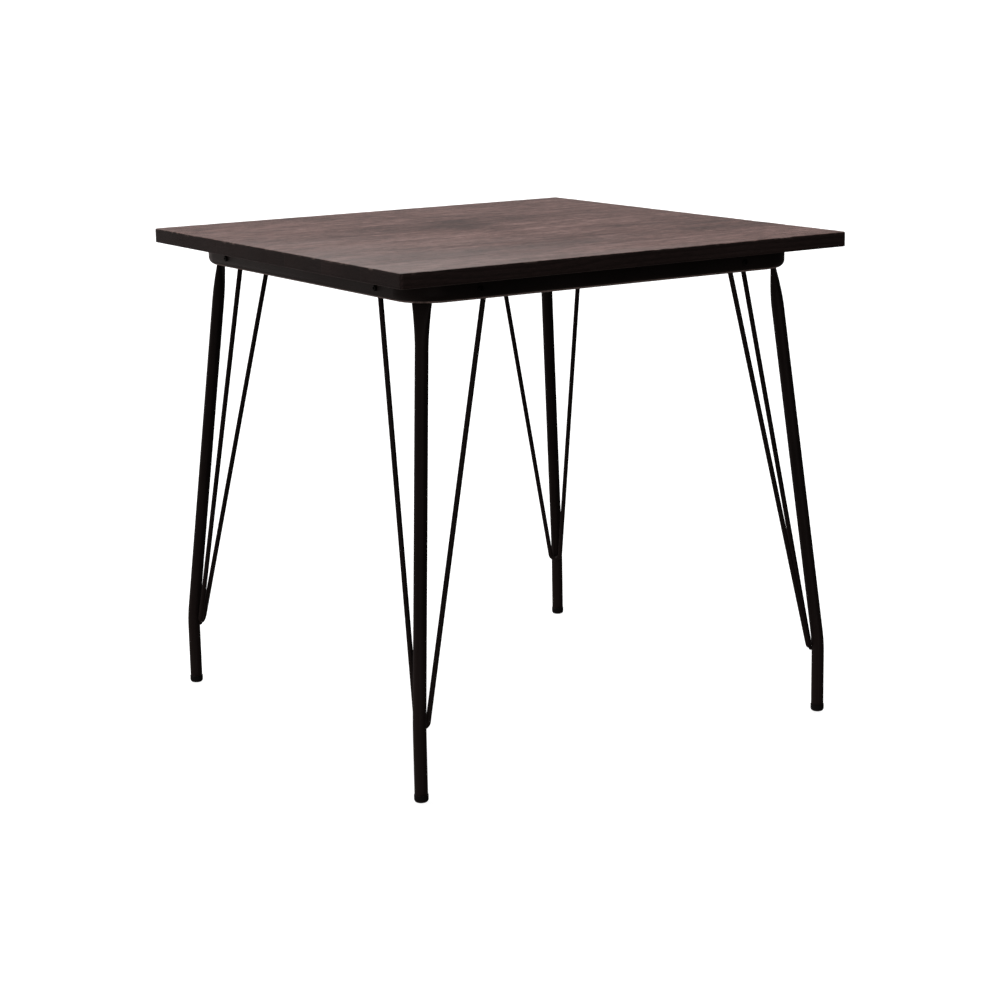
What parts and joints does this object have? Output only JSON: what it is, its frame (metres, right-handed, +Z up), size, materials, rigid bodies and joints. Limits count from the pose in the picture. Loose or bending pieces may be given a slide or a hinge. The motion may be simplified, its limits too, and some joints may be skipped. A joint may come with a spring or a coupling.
{
  "type": "cafe table",
  "caption": "Square wooden cafe table on a black rounded-corner steel frame, with splayed tube legs braced by bent V-shaped rods and dark foot caps.",
  "frame": {"origin": "on the floor plane, under the middle of the tabletop", "axes": "+Z up, square to the tabletop; +X along the wood grain, parallel to the front edge; +Y from the front edge to the back edge"},
  "size_m": [0.8, 0.8, 0.776],
  "materials": {
    "tabletop_wood": "dark-stained, satin-lacquered solid wood, grain along X, a little worn on the edges",
    "frame_coat": "black satin powder coat on sheet steel",
    "plate_coat": "black satin powder coat on steel plate",
    "leg_coat": "black satin powder coat on steel tube",
    "rod_coat": "black satin powder coat on steel rod",
    "foot_rubber": "matt black hard rubber",
    "black_screws": "black-oxide steel",
    "zinc_fasteners": "zinc-plated steel"
  },
  "bodies": {
    "root": {"top_board_1": "tabletop_wood", "top_board_2": "tabletop_wood", "top_board_3": "tabletop_wood", "top_board_4": "tabletop_wood", "top_board_5": "tabletop_wood", "top_board_6": "tabletop_wood", "top_board_7": "tabletop_wood", "apron_frame": "frame_coat", "corner_plate_front_left": "plate_coat", "corner_plate_front_right": "plate_coat", "corner_plate_back_left": "plate_coat", "corner_plate_back_right": "plate_coat", "leg_tube_front_left": "leg_coat", "leg_tube_front_right": "leg_coat", "leg_tube_back_left": "leg_coat", "leg_tube_back_right": "leg_coat", "brace_rod_front_left": "rod_coat", "brace_rod_front_right": "rod_coat", "brace_rod_back_left": "rod_coat", "brace_rod_back_right": "rod_coat", "foot_cap_front_left": "foot_rubber", "foot_cap_front_right": "foot_rubber", "foot_cap_back_left": "foot_rubber", "foot_cap_back_right": "foot_rubber", "apron_side_screws": "black_screws", "apron_side_nuts": "zinc_fasteners", "leg_bolts": "black_screws", "leg_bolt_nuts": "zinc_fasteners", "top_fixing_screws": "zinc_fasteners", "brace_foot_welds": "leg_coat", "brace_top_welds": "rod_coat"}
  },
  "joints": []
}
